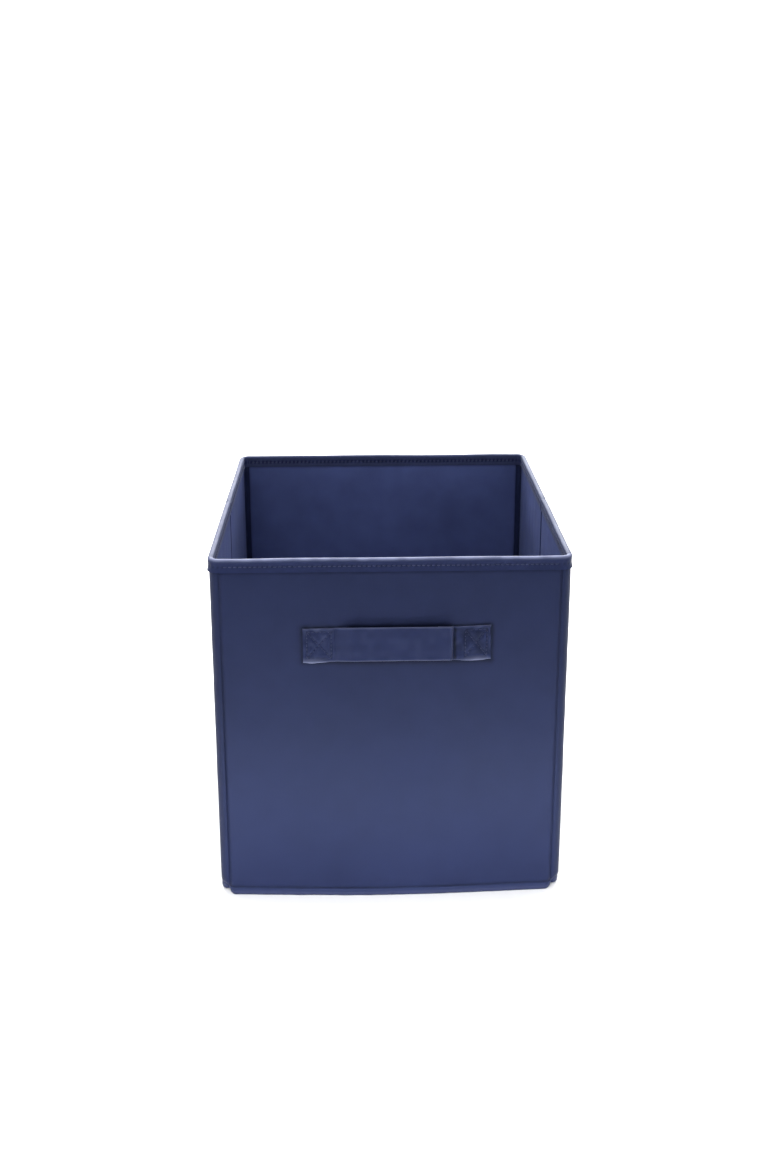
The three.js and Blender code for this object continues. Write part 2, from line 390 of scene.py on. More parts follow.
def maths(tree, operation, first, second=0.0):
    return add_node(tree, "ShaderNodeMath", {0: first, 1: second}, operation=operation).outputs[0]


def ramp(tree, value, stops):
    """A value mapped through (position, level) stops."""
    made = add_node(tree, "ShaderNodeValToRGB", {0: value})
    while len(made.color_ramp.elements) < len(stops):
        made.color_ramp.elements.new(0.5)
    for element, (position, level) in zip(made.color_ramp.elements, stops):
        element.position = position
        element.color = (level, level, level, 1)
    return made.outputs[0]


def add_bump(tree, shader, height, strength, distance):
    bump = add_node(tree, "ShaderNodeBump", {"Height": height, "Strength": strength, "Distance": distance})
    tree.links.new(bump.outputs[0], shader.inputs["Normal"])


def new_material(name):
    made = bpy.data.materials.new(name)
    made.use_nodes = True
    tree = made.node_tree
    shader = next(n for n in tree.nodes if n.type == "BSDF_PRINCIPLED")
    return made, tree, shader


PALE_WEAR_AND_HIGHLIGHT = (0.20, 0.22, 0.34)     # pale colour the cloth is mixed toward, for scuffing at a fold and for painted highlights on folds and edges


def centred(tree, value, amount, middle=0.5):
    """A texture's swing about its middle, times an amount."""
    return maths(tree, "MULTIPLY", maths(tree, "SUBTRACT", value, middle), amount)


def cloth_textures(tree):
    """Pressed dots, stray fibres, clouds and larger patches."""
    place = add_node(tree, "ShaderNodeUVMap", uv_map="cloth").outputs[0]
    solid = add_node(tree, "ShaderNodeTexCoord").outputs["Object"]
    dots = add_node(tree, "ShaderNodeTexVoronoi", {"Vector": place, "Scale": 950.0, "Randomness": 0.12},
                    voronoi_dimensions="2D").outputs["Distance"]
    pressed = ramp(tree, dots, [(0.16, 0.0), (0.34, 1.0)])
    fibres = add_node(tree, "ShaderNodeTexNoise",
                      {"Vector": place, "Scale": 2300.0, "Detail": 3.0, "Roughness": 0.65, "Distortion": 1.2},
                      noise_dimensions="2D").outputs[0]
    clouds = add_node(tree, "ShaderNodeTexNoise", {"Vector": solid, "Scale": 55.0, "Detail": 4.0}).outputs[0]
    patches = add_node(tree, "ShaderNodeTexNoise", {"Vector": solid, "Scale": 14.0, "Detail": 2.0}).outputs[0]
    return pressed, fibres, clouds, patches


def color_with_wear_and_painted_light(tree, color, wear_and_highlight, changes):
    """The cloth's colour with its changes of lightness, darkened by painted shade and paled for a scuffed
    fold and a painted highlight.
    """
    wear_and_painted_light = add_node(tree, "ShaderNodeAttribute", attribute_name="pressed").outputs["Fac"]
    lightness = maths(tree, "ADD", maths(tree, "MINIMUM", wear_and_painted_light, 0.0), 1.0)
    for change in changes:
        lightness = maths(tree, "ADD", change, lightness)
    tinted = add_node(tree, "ShaderNodeVectorMath", {0: color, "Scale": lightness}, operation="SCALE")
    paled = add_node(tree, "ShaderNodeMix", {0: maths(tree, "MULTIPLY", wear_and_painted_light, wear_and_highlight),
                                             "A": tinted.outputs[0], "B": PALE_WEAR_AND_HIGHLIGHT}, data_type="VECTOR")
    return next(socket for socket in paled.outputs if socket.enabled)


def cloth_material(name, color, roughness, sheen, emboss=1.0, contrast=0.10, wear_and_highlight=0.13):
    """Spun-bonded cloth: a grid of pressed dots, stray fibres between them, and faint cloudiness."""
    made, tree, shader = new_material(name)
    pressed, fibres, clouds, patches = cloth_textures(tree)
    patchy = centred(tree, patches, contrast * 3.0)
    changes = (centred(tree, clouds, contrast * 1.5), patchy, centred(tree, fibres, contrast * 0.8),
               centred(tree, pressed, 0.10 * emboss, 0.8))
    tree.links.new(color_with_wear_and_painted_light(tree, color, wear_and_highlight, changes), shader.inputs["Base Color"])
    rough = maths(tree, "ADD", maths(tree, "MULTIPLY", fibres, 0.14), roughness - 0.07)
    rough = maths(tree, "ADD", maths(tree, "MULTIPLY", patchy, 0.4), rough)
    tree.links.new(rough, shader.inputs["Roughness"])
    height = maths(tree, "ADD", maths(tree, "MULTIPLY", pressed, 0.6 * emboss),
                   maths(tree, "MULTIPLY", fibres, 0.9))
    add_bump(tree, shader, height, 0.35, 0.08 * MM)
    shader.inputs["Specular IOR Level"].default_value = 0.13
    shader.inputs["Specular Tint"].default_value = (0.5, 0.62, 1.0, 1.0)
    shader.inputs["Sheen Weight"].default_value = sheen
    shader.inputs["Sheen Roughness"].default_value = 0.25
    shader.inputs["Sheen Tint"].default_value = (0.62, 0.70, 1.0, 1.0)
    return made


def thread_material():
    """Twisted sewing thread."""
    made, tree, shader = new_material("sewing_thread")
    place = add_node(tree, "ShaderNodeUVMap", uv_map="cloth").outputs[0]
    twist = add_node(tree, "ShaderNodeTexWave", {"Vector": place, "Scale": 620.0, "Distortion": 0.6},
                     bands_direction="DIAGONAL").outputs[0]
    level = maths(tree, "ADD", maths(tree, "MULTIPLY", twist, 0.35), 0.8)
    tinted = add_node(tree, "ShaderNodeVectorMath", {0: (0.0150, 0.0205, 0.058), "Scale": level},
                      operation="SCALE")
    tree.links.new(tinted.outputs[0], shader.inputs["Base Color"])
    add_bump(tree, shader, twist, 0.5, 0.1 * MM)
    shader.inputs["Roughness"].default_value = 0.55
    shader.inputs["Specular IOR Level"].default_value = 0.2
    return made


def board_material():
    """Grey pressed board, with flecks and short fibres."""
    made, tree, shader = new_material("pressed_board")
    solid = add_node(tree, "ShaderNodeTexCoord").outputs["Object"]
    flecks = add_node(tree, "ShaderNodeTexNoise", {"Vector": solid, "Scale": 700.0, "Detail": 5.0}).outputs[0]
    clouds = add_node(tree, "ShaderNodeTexNoise", {"Vector": solid, "Scale": 40.0, "Detail": 3.0}).outputs[0]
    level = maths(tree, "ADD", maths(tree, "MULTIPLY", flecks, 0.5), maths(tree, "MULTIPLY", clouds, 0.3))
    tinted = add_node(tree, "ShaderNodeVectorMath",
                      {0: (0.36, 0.32, 0.27), "Scale": maths(tree, "ADD", level, 0.6)}, operation="SCALE")
    tree.links.new(tinted.outputs[0], shader.inputs["Base Color"])
    add_bump(tree, shader, flecks, 0.4, 0.1 * MM)
    shader.inputs["Roughness"].default_value = 0.9
    return made


# These are one navy cloth in lit and shaded copies: the shell, binding and strap are set dark against the
# bright lamps on the outside, and the lining is four to five times lighter, which is painted light on the
# inside walls
SHELL_CLOTH = cloth_material("shell_cloth", (0.0090, 0.0123, 0.0367), roughness=0.50, sheen=0.05)
LINING_CLOTH = cloth_material("lining_cloth", (0.044, 0.058, 0.150), roughness=0.54, sheen=0.05,
                              contrast=0.16)
BINDING_CLOTH = cloth_material("binding_cloth", (0.0098, 0.0135, 0.042), roughness=0.46, sheen=0.16,
                               emboss=0.7, wear_and_highlight=0.64)
STRAP_CLOTH = cloth_material("strap_cloth", (0.0098, 0.0136, 0.042), roughness=0.48, sheen=0.10,
                             emboss=0.9)
SEWING_THREAD = thread_material()
PRESSED_BOARD = board_material()


def dress(piece, material, slot, *replaced):
    piece.data.materials.clear()
    piece.data.materials.append(material)
    if replaced:
        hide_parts(*replaced)
    return piece


# ---------------------------------------------------------------- walls
RIGHT_MIDDLE = SIDE_STARTS[1] + FLAT_Y / 2
LEFT_MIDDLE = SIDE_STARTS[3] + FLAT_Y / 2
PANELS = {  # name: its body, and its span round the outline
    "front": ("front_wall", SIDE_STARTS[0], SIDE_STARTS[0] + FLAT_X),
    "right_front": ("right_front_panel", SIDE_STARTS[1], RIGHT_MIDDLE - CREASE),
    "right_rear": ("right_rear_panel", RIGHT_MIDDLE + CREASE, SIDE_STARTS[1] + FLAT_Y),
    "back": ("back_wall", SIDE_STARTS[2], SIDE_STARTS[2] + FLAT_X),
    "left_rear": ("left_rear_panel", SIDE_STARTS[3], LEFT_MIDDLE - CREASE),
    "left_front": ("left_front_panel", LEFT_MIDDLE + CREASE, SIDE_STARTS[3] + FLAT_Y),
}


def shell_face(u, z):
    return skin(u, z, SHELL_OUT, shell_relief(u, z) - hinge_groove(u))


def shell_back(u, z):
    return skin(u, z, SHELL_IN, -hinge_groove(u))


def lining_back(u, z):
    return skin(u, z, LINING_OUT)


def lining_face(u, z):
    return skin(u, z, LINING_IN, -lining_relief(u, z))


def strap_shadow_mask(u, z):
    """Mask of the painted shadow round the strap: 1 behind the strap, falling to 0 a little way outside its
    outline.
    """
    x = u - FLAT_X / 2
    middle_x, middle_z = (SEWN_LEFT[0] + SEWN_RIGHT[1]) / 2, (STRAP_LOW + STRAP_HIGH) / 2
    past_x = np.clip(np.abs(x - middle_x) - (SEWN_RIGHT[1] - SEWN_LEFT[0]) / 2, 0, None)
    past_z = np.clip(np.abs(z - middle_z) - (STRAP_HIGH - STRAP_LOW) / 2, 0, None)
    return np.exp(-(np.hypot(past_x, past_z) / (2.4 * MM)) ** 2) * (u <= FLAT_X)


def painted_groove_shade(u, z):
    """Painted shade: how far the cloth's colour is darkened in the grooves beside the boards, along the seam
    at its foot and under the binding's lip.
    """
    beside = 0.30 * hinge_groove(u) / HINGE_GROOVE
    seam = 0.45 * np.exp(-((z - SHELL_FOOT) / (1.2 * MM)) ** 2)
    under_lip = 0.35 * np.exp(-((BINDING_FOOT - z) / (1.3 * MM)) ** 2)
    return beside + seam + under_lip


def make_sheet_panel(name, start, end, foot, face, hidden_face):
    across, up = [start, end], [SHELL_FOOT, BINDING_FOOT]
    if name.startswith("front"):
        across += [x + FLAT_X / 2 for x in (SEWN_LEFT[0], SEWN_RIGHT[1])]
        up += [STRAP_LOW, STRAP_HIGH]
    u, z = np.meshgrid(spaced_about(start, end, GRID, across), spaced_about(foot, SHELL_TOP, GRID, up),
                       indexing="ij")
    # painted shade: the cloth's colour is darkened in its grooves and seams, and the shell's also in a
    # painted shadow round the strap
    painted_shade = painted_groove_shade(u, z) + (0.65 * strap_shadow_mask(u, z) if face is shell_face else 0)
    return solid_between(name, face(u, z), hidden_face(u, z), np.stack([u, z], -1), pressed=-painted_shade)


def make_board(name, start, end):
    across = spaced(start + 2 * MM, end - 2 * MM, 12 * MM)
    u, z = np.meshgrid(across, spaced(BOARD_FOOT, BOARD_TOP, 12 * MM), indexing="ij")
    return solid_between(name, skin(u, z, BOARD_OUT), skin(u, z, BOARD_IN), np.stack([u, z], -1))


def binding_section():
    """Depth and height of the binding's outer and inner faces, from the outer leg's foot to the inner's."""
    arc = np.linspace(0, math.pi, 13)
    half = WALL / 2
    foot, shoulder = BINDING_FOOT, RIM - BINDING_ROUND
    leg = np.linspace(foot, shoulder, 9)[:-1]
    depth = np.concatenate([leg * 0, half - half * np.cos(arc), leg * 0 + WALL])
    height = np.concatenate([leg, shoulder + BINDING_ROUND * np.sin(arc), leg[::-1]])
    tape = BINDING_TAPE
    inner_half = half - tape
    inner_depth = np.concatenate([leg * 0 + tape, half - inner_half * np.cos(arc), leg * 0 + WALL - tape])
    inner_height = np.concatenate([leg, shoulder + (BINDING_ROUND - tape) * np.sin(arc), leg[::-1]])
    return depth, height, inner_depth, inner_height


def binding_pucker(u, z, depth):
    """Relief of the binding's outer face: it dips under each stitch, and its foot lifts a little."""
    middle = u - STITCH_LENGTH / 2
    along = np.cos(2 * math.pi * middle / STITCH_PITCH)
    row = np.exp(-((z - RIM_STITCH_Z) / (1.2 * MM)) ** 2)
    dip = -0.16 * MM * row * (1.1 - along)
    swell = 0.10 * MM * ripple(41, u, z, 9 * MM) * smooth((z - BINDING_FOOT) / (2 * MM))
    swell = swell * smooth((RIM - BINDING_ROUND - z) / (2 * MM)) * smooth(edge_distance(u) / (5 * MM))
    lip = BINDING_LIP * smooth(1 - (z - BINDING_FOOT) / (2.6 * MM))
    lip = lip * (1 + 0.4 * ripple(42, u, z * 0, 12 * MM))
    return np.where(depth > WALL / 2, -(dip + swell + 0.2 * lip), dip + swell + lip)


def rim_wear_and_highlight(u):
    """How pale the rim's top is, partly scuffed and partly a painted highlight: most at the front, where
    hands reach in, and least at the back.
    """
    toward_front = -plan(u)[1][..., 1]
    return np.interp(toward_front, [-1, 0, 1], [RIM_WEAR_AND_HIGHLIGHT_BACK, RIM_WEAR_AND_HIGHLIGHT_SIDE, 1])


def make_binding(name, start, end, step=FINE):
    depth, height, inner_depth, inner_height = binding_section()
    u = spaced(start, end, step)[:, None]
    lift = rim_wave(u) * smooth((height - BINDING_FOOT) / (RIM - BINDING_FOOT))
    outer = skin(u, height, depth, binding_pucker(u, height, depth) - 0.35 * MM * at_crease(u), lift)
    foot_lip = np.where(inner_height < BINDING_FOOT + 2 * MM, binding_pucker(u, inner_height, inner_depth), 0)
    inner = skin(u, inner_height, inner_depth, foot_lip, lift)
    run = np.concatenate([[0], np.cumsum(np.hypot(np.diff(depth), np.diff(height)))])
    places = np.stack(np.broadcast_arrays(u, run), -1)
    # the rim's top is mixed pale, partly for scuffing and partly as a painted highlight; its inner leg is a
    # touch paler
    top = np.exp(-((run - run[-1] / 2) / (2.5 * MM)) ** 4) * (1 + 0.3 * ripple(43, u, u * 0, 7 * MM))
    top = top * rim_wear_and_highlight(u)
    top = np.maximum(top, RUBBED_INSIDE * smooth((run - run[-1] / 2) / (3 * MM)))
    # painted shade in the needle holes between the rim's stitches
    holes = np.exp(-((height - RIM_STITCH_Z) / (0.9 * MM)) ** 2)
    holes = holes * (0.5 - 0.5 * np.cos(2 * math.pi * (u - STITCH_LENGTH / 2) / STITCH_PITCH)) ** 2
    return solid_between(name, outer, inner, places, sharp_angle=40, pressed=top - 0.5 * holes)


def make_rim_stitches(name, start, end):
    """The stitch row through the binding, seen on both of its faces."""
    first = math.ceil((start + 0.5 * MM) / STITCH_PITCH)
    last = math.floor((end - 0.5 * MM - STITCH_LENGTH) / STITCH_PITCH)
    begins = np.arange(first, last + 1) * STITCH_PITCH
    starts, ends, normals = [], [], []
    for face, depth in ((1, 0.0), (-1, WALL)):
        for begin in begins:
            wander = 0.12 * MM * math.sin(begin * 911)
            line = []
            for u in (begin, begin + STITCH_LENGTH):
                z = np.array(RIM_STITCH_Z + wander)
                u = np.array(u)
                line.append(skin(u, z, np.array(depth), binding_pucker(u, z, np.array(depth))))
            normal = plan(np.array(begin))[1] * face
            starts.append(line[0])
            ends.append(line[1])
            normals.append(np.array([normal[0], normal[1], 0.0]))
    return stitches(name, starts, ends, normals)


def add_panel(name, body, start, end):
    shell = make_sheet_panel(f"{name}_shell_cloth", start, end, SHELL_FOOT, shell_face, shell_back)
    lining = make_sheet_panel(f"{name}_lining_cloth", start, end, LINING_FOOT, lining_face, lining_back)
    board = make_board(f"{name}_pressed_board", start, end)
    binding = make_binding(f"{name}_binding_tape", start, end)
    thread = make_rim_stitches(f"{name}_rim_thread", start, end)
    dress(shell, SHELL_CLOTH, "shell", f"{name}_shell")
    dress(lining, LINING_CLOTH, "lining", f"{name}_lining")
    dress(board, PRESSED_BOARD, "board", f"{name}_board")
    dress(binding, BINDING_CLOTH, "binding", f"{name}_binding")
    dress(thread, SEWING_THREAD, "thread", f"{name}_rim_stitch")
    for piece in (shell, lining, board, binding, thread):
        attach(piece, body)


for panel_name, (panel_body, panel_start, panel_end) in PANELS.items():
    add_panel(panel_name, panel_body, panel_start, panel_end)

# ---------------------------------------------------------------- corners and creases
CORNER_STEP = 0.7 * MM


def strip_face(u, z):
    """Outer face of a boardless strip, slightly crinkled."""
    loose = np.maximum(in_corner(u), at_crease(u))
    crinkle = 0.18 * MM * ripple(51, u, z, 14 * MM, 1.5) * loose
    seams = shell_relief(u, z) * (1 - loose)
    return skin(u, z, SHELL_OUT, crinkle + seams - hinge_groove(u) - 0.55 * MM * at_crease(u))


def strip_back(u, z):
    loose = np.maximum(in_corner(u), at_crease(u))
    crinkle = 0.15 * MM * ripple(52, u, z, 12 * MM, 1.5) * loose
    return skin(u, z, LINING_IN, 0.9 * MM * at_crease(u) + crinkle)


def make_strip(name, start, end):
    heights = spaced_about(SHELL_FOOT, SHELL_TOP, GRID, [SHELL_FOOT, BINDING_FOOT])
    u, z = np.meshgrid(spaced(start, end, CORNER_STEP), heights, indexing="ij")
    # painted shade: the strip's colour is darkened a little more in the corners and down the creases, on top
    # of the painted shade in its grooves and seams
    loose = 0.10 * np.maximum(in_corner(u), at_crease(u))
    return solid_between(name, strip_face(u, z), strip_back(u, z), np.stack([u, z], -1), sharp_angle=70,
                         pressed=-painted_groove_shade(u, z) - loose)


def add_strip(name, start, end, node, place):
    """A boardless strip of cloth with its binding: place puts a piece on its body, or bakes it where it
    stands.
    """
    cloth = make_strip(f"{name}_strip_cloth", start, end)
    binding = make_binding(f"{name}_strip_binding", start, end, CORNER_STEP)
    dress(cloth, SHELL_CLOTH, "shell", f"{node}_fabric")
    dress(binding, BINDING_CLOTH, "binding", f"{node}_binding")
    place(cloth)
    place(binding)


def corner_blend():
    """Leaves a corner's pieces where they stand, with their transforms baked in."""

    def place(piece):
        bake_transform(piece)
    return place


CORNER_STRIPS = [  # name, the side before it, and the bodies before and after it
    ("front_right_corner", 0, "front_wall", "right_front_panel"),
    ("back_right_corner", 1, "right_rear_panel", "back_wall"),
    ("back_left_corner", 2, "back_wall", "left_rear_panel"),
    ("front_left_corner", 3, "left_front_panel", "front_wall"),
]
for strip_name, before, first, second in CORNER_STRIPS:
    strip_start = SIDE_STARTS[before] + SIDE_LENGTHS[before]
    add_strip(strip_name, strip_start, strip_start + TURN, strip_name, corner_blend())


def left_crease_blend(piece):
    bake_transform(piece)


add_strip("left_crease", LEFT_MIDDLE - CREASE, LEFT_MIDDLE + CREASE, "left_crease", left_crease_blend)
# The right crease is where the ring of walls is opened, so each half of it rides its own panel
add_strip("right_crease_front", RIGHT_MIDDLE - CREASE, RIGHT_MIDDLE, "right_crease",
          lambda piece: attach(piece, "right_front_panel"))
add_strip("right_crease_rear", RIGHT_MIDDLE, RIGHT_MIDDLE + CREASE, "right_crease",
          lambda piece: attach(piece, "right_rear_panel"))


def hem_section():
    """Depth and height of the rolled hem's outer and inner faces: a tongue at its top lies in the wall."""
    arc = np.linspace(0, 1, 15)
    outer_depth = np.append(0.5 * MM + 1.1 * MM * np.abs(2 * arc - 1) ** 3, 1.6 * MM)
    outer_height = np.append(HEM_TOP * arc, HEM_TOP + 0.8 * MM)
    return outer_depth, outer_height, outer_depth * 0 + BOARD_IN, outer_height


def make_hem(name):
    outer_depth, outer_height, inner_depth, inner_height = hem_section()
    u = np.linspace(0, PERIMETER, round(PERIMETER / (1.4 * MM)), endpoint=False)[:, None]
    roll = 0.16 * MM * ripple(61, u, u * 0, 9 * MM) * smooth(edge_distance(u) / (6 * MM))
    outer = skin(u, outer_height, outer_depth, roll)
    inner = skin(u, inner_height, inner_depth)
    run = np.cumsum(np.hypot(np.gradient(outer_depth), np.gradient(outer_height)))
    # painted highlight along the middle of the roll, and painted shade in the seam at its top
    middle = np.exp(-((outer_height - HEM_TOP * 0.4) / (1.6 * MM)) ** 2)
    top = np.exp(-((outer_height - HEM_TOP) / (0.8 * MM)) ** 2)
    places = np.stack(np.broadcast_arrays(u, run), -1)
    return solid_between(name, outer, inner, places, ring=True, pressed=0.10 * middle - 0.45 * top)


def plate_grid(half_x, half_y, radius, step=5 * MM):
    """Points of a rounded rectangle, in rows along X that end on its outline."""
    turn = np.sin(np.linspace(0, math.pi / 2, 9)) * radius
    flat = spaced(-(half_y - radius), half_y - radius, step)
    rows = np.concatenate([-(half_y - radius) - turn[:0:-1], flat, half_y - radius + turn[1:]])
    past = np.clip(np.abs(rows) - (half_y - radius), 0, radius)
    reach = half_x - radius + np.sqrt(radius ** 2 - past ** 2)
    shares = spaced(-1, 1, step / half_x)
    return reach[:, None] * shares[None, :], np.broadcast_to(rows[:, None], (len(rows), len(shares)))


def make_bottom_cloth(name):
    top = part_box("bottom_fabric")[1].z
    inset, cut = 2.6 * MM, 21 * MM
    x, y = plate_grid(HALF_WIDTH - inset, HALF_DEPTH - inset, cut)
    belly = np.where(y < 0, -BASE_BOW, BACK_BOW) * bow(x / FLAT_X + 0.5)
    y = y + belly * smooth((np.abs(y) / HALF_DEPTH - 0.6) / 0.3)
    inside = smooth((HALF_WIDTH - np.abs(x)) / (30 * MM)) * smooth((HALF_DEPTH - np.abs(y)) / (30 * MM))
    low = 0.25 * MM * (1 + ripple(71, x, y, 40 * MM)) * inside
    places = np.stack([x, y], -1)
    return solid_between(name, np.stack([x, y, top + low], -1), np.stack([x, y, low], -1), places)


bottom_cloth = dress(make_bottom_cloth("bottom_cloth"), SHELL_CLOTH, "shell", "bottom_fabric")
bottom_hem = dress(make_hem("bottom_hem"), BINDING_CLOTH, "binding", "bottom_seam")
for soft_piece in (bottom_cloth, bottom_hem):
    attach(soft_piece, "front_wall")
    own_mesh(soft_piece)

# ---------------------------------------------------------------- base insert
INSERT_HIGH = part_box("insert_board")[1]
INSERT_HALF = (INSERT_HIGH.x + 0.7 * MM, INSERT_HIGH.y + 0.7 * MM)
INSERT_RADIUS = 6 * MM
INSERT_EDGE = 1.1 * MM      # radius that the cloth turns round the board's edge
INSERT_WRAP = 3.2 * MM      # how far it runs past the edge of the flat


def wrap_down(x, y, level):
    """A flat sheet laid on the insert, with its margin turned down round the board's edge."""
    inner_x, inner_y = (half - INSERT_RADIUS for half in INSERT_HALF)
    away = np.stack([np.clip(np.abs(x) - inner_x, 0, None), np.clip(np.abs(y) - inner_y, 0, None)], -1)
    distance = np.maximum(np.linalg.norm(away, axis=-1), 1e-9)
    radius = INSERT_RADIUS - INSERT_EDGE
    past = np.clip(distance - radius, 0, None)
    angle = np.clip(past / INSERT_EDGE, 0, math.pi / 2)
    out = np.where(past > 0, radius + INSERT_EDGE * np.sin(angle), distance)
    down = INSERT_EDGE * (1 - np.cos(angle)) + np.clip(past - INSERT_EDGE * math.pi / 2, 0, None)
    scaled = away * (out / distance)[..., None]
    far_x = np.minimum(np.abs(x), inner_x) + scaled[..., 0]
    far_y = np.minimum(np.abs(y), inner_y) + scaled[..., 1]
    return np.stack([np.sign(x) * far_x, np.sign(y) * far_y, level - down], -1)


def make_insert_top(name):
    margin = INSERT_WRAP - INSERT_EDGE
    x, y = plate_grid(INSERT_HALF[0] + margin, INSERT_HALF[1] + margin, INSERT_RADIUS + margin, 3 * MM)
    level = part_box("insert_cover_top")[1].z
    inside = (smooth((INSERT_HALF[0] - np.abs(x)) / (14 * MM))
              * smooth((INSERT_HALF[1] - np.abs(y)) / (14 * MM)))
    relief = MM * inside * (0.12 + 0.16 * ripple(81, x, y, 48 * MM) + 0.05 * ripple(82, x, y, 13 * MM))
    outer = wrap_down(x, y, level - 0.15 * MM + relief)
    inner = wrap_down(x * 0.998, y * 0.998, level - 0.5 * MM)
    return solid_between(name, outer, inner, np.stack([x, y], -1))


def make_insert_bottom(name):
    low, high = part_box("insert_cover_bottom")
    x, y = plate_grid(high.x - 1.2 * MM, high.y - 1.2 * MM, INSERT_RADIUS)
    places = np.stack([x, y], -1)
    lift = 0.1 * MM * (1 + ripple(83, x, y, 30 * MM))
    upper = np.stack([x, y, 0 * x + high.z], -1)
    lower = np.stack([x, y, low.z + lift], -1)
    return solid_between(name, upper, lower, places)


insert_top = dress(make_insert_top("insert_top_cloth"), LINING_CLOTH, "lining", "insert_cover_top")
insert_bottom = dress(make_insert_bottom("insert_bottom_cloth"), LINING_CLOTH, "lining",
                      "insert_cover_bottom")
for insert_piece, rest in ((insert_top, "insert_board"), (insert_bottom, "bottom_cloth")):
    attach(insert_piece, "base_insert")

# ---------------------------------------------------------------- handle
FOLD_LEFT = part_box("handle_slack_fold")[0].x
BEND = (GRIP_Y - SEWN_Y) / -4     # radius of the slack fold's two bends, at the strap's middle
FRONT_BEND = (SEWN_RIGHT[0] - BEND - STRAP / 2, GRIP_Y + BEND)
BACK_BEND = (FOLD_LEFT + BEND + STRAP / 2, GRIP_Y + 3 * BEND)
TUCK_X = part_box("handle_right_end")[0].x
STRAP_STEP = 0.8 * MM
FLARE = 2.0 * MM                  # how far the lower edge curls out beside the sewn ends
STRAP_SKEW = 1.1 * MM             # how far the right end rises toward its outer edge


def arc_points(centre, radius, start, end, count=9):
    angles = np.radians(np.linspace(start, end, count))
    return np.stack([centre[0] + radius * np.cos(angles), centre[1] + radius * np.sin(angles)], -1)


def strap_path(points):
    """A path in plan resampled evenly: its points, and its normals, which point out of the bin at first."""
    points = np.asarray(points, float)
    along = np.concatenate([[0], np.cumsum(np.linalg.norm(np.diff(points, axis=0), axis=1))])
    at = spaced(0, along[-1], STRAP_STEP)
    path = np.stack([np.interp(at, along, points[:, k]) for k in range(2)], -1)
    for _ in range(3):
        path[1:-1] = (path[:-2] + 2 * path[1:-1] + path[2:]) / 4
    tangent = np.gradient(path, axis=0)
    tangent /= np.linalg.norm(tangent, axis=1)[:, None]
    return path, np.stack([tangent[:, 1], -tangent[:, 0]], -1), at


def stitched_box(sewn):
    """Left, right, low and high edges of the box-and-cross stitch on a sewn end."""
    inset, width = 3 * MM, 16 * MM
    left = sewn[0] + inset if sewn is SEWN_LEFT else sewn[1] - inset - width
    return left, sewn[1] - inset, STRAP_LOW + inset, STRAP_HIGH - inset


def sewn_box(x, z, sewn):
    """Distance to the nearest line of the box-and-cross stitch on a sewn end."""
    left, right, low, high = stitched_box(sewn)
    half = (high - low) / 2
    px = np.abs((x - (left + right) / 2) / ((right - left) / 2))
    pz = np.abs((z - (low + high) / 2) / half)
    box = np.abs(np.maximum(px, pz) - 1) * half
    cross = np.where(np.maximum(px, pz) < 1, np.abs(px - pz) * half * 0.7, 1)
    return np.minimum(box, cross)


def strap_relief(x, y, z):
    """How far the strap's cloth stands off its own middle, on top of its thickness."""
    sewn_depth = smooth((y - SEWN_Y + 1.5 * MM) / MM)
    relief = 0.20 * MM * ripple(91, x, z, 9 * MM) + 0.12 * MM * ripple(92, x, z, 30 * MM)
    for sewn in (SEWN_LEFT, SEWN_RIGHT):
        over = smooth((x - sewn[0]) / (2 * MM)) * smooth((sewn[1] - x) / MM) * sewn_depth
        line = np.exp(-(sewn_box(x, z, sewn) / (0.9 * MM)) ** 2)
        pucker = 0.5 * ripple(94, x, z, 4.5 * MM)
        relief = relief + over * MM * ((0.35 + pucker) * (1 - line) - 0.28 * line)
    return relief


def flare(x, y, z):
    """Outward curl of the strap's lower edge beside the sewn ends."""
    sewn_depth = smooth((y - SEWN_Y + 1.5 * MM) / MM)
    lower = smooth(1 - (z - STRAP_LOW) / (4.5 * MM))
    total = 0 * x
    for sewn, share in ((SEWN_LEFT, 0.30), (SEWN_RIGHT, 0.62)):
        middle = sewn[0] + (sewn[1] - sewn[0]) * share
        total = total + np.exp(-((x - middle) / (8.5 * MM)) ** 2)
    return -FLARE * lower * np.clip(total, 0, 1) * sewn_depth


def strap_tone_and_painted_light(x, y, z, to_edge):
    """Painted light on the strap: painted highlights along its edges, at its fold and on its outward-curled
    lower edge, and painted shade on the sewn end under and beside the fold, with a blotchy tone over it all.
    """
    sewn_down = y > SEWN_Y - STRAP
    curl = -flare(x, y, z) / FLARE
    crumpled = 0.30 * ripple(95, x, z, 5 * MM) * (0.35 + 0.65 * sewn_down)
    edges = 1.6 * np.exp(-(to_edge / (0.8 * MM)) ** 2)
    fold = 1.5 * np.exp(-((x - SEWN_RIGHT[0]) / (1.2 * MM)) ** 2) * (1 - sewn_down)
    under_fold = 0.25 * smooth((x - SEWN_RIGHT[0]) / (2 * MM)) * sewn_down
    beside_fold = 0.7 * np.exp(-((x - SEWN_RIGHT[0] - 1.2 * MM) / (1.1 * MM)) ** 2) * sewn_down
    return edges + fold + 3.2 * curl + crumpled - (under_fold + beside_fold) * (1 - curl)


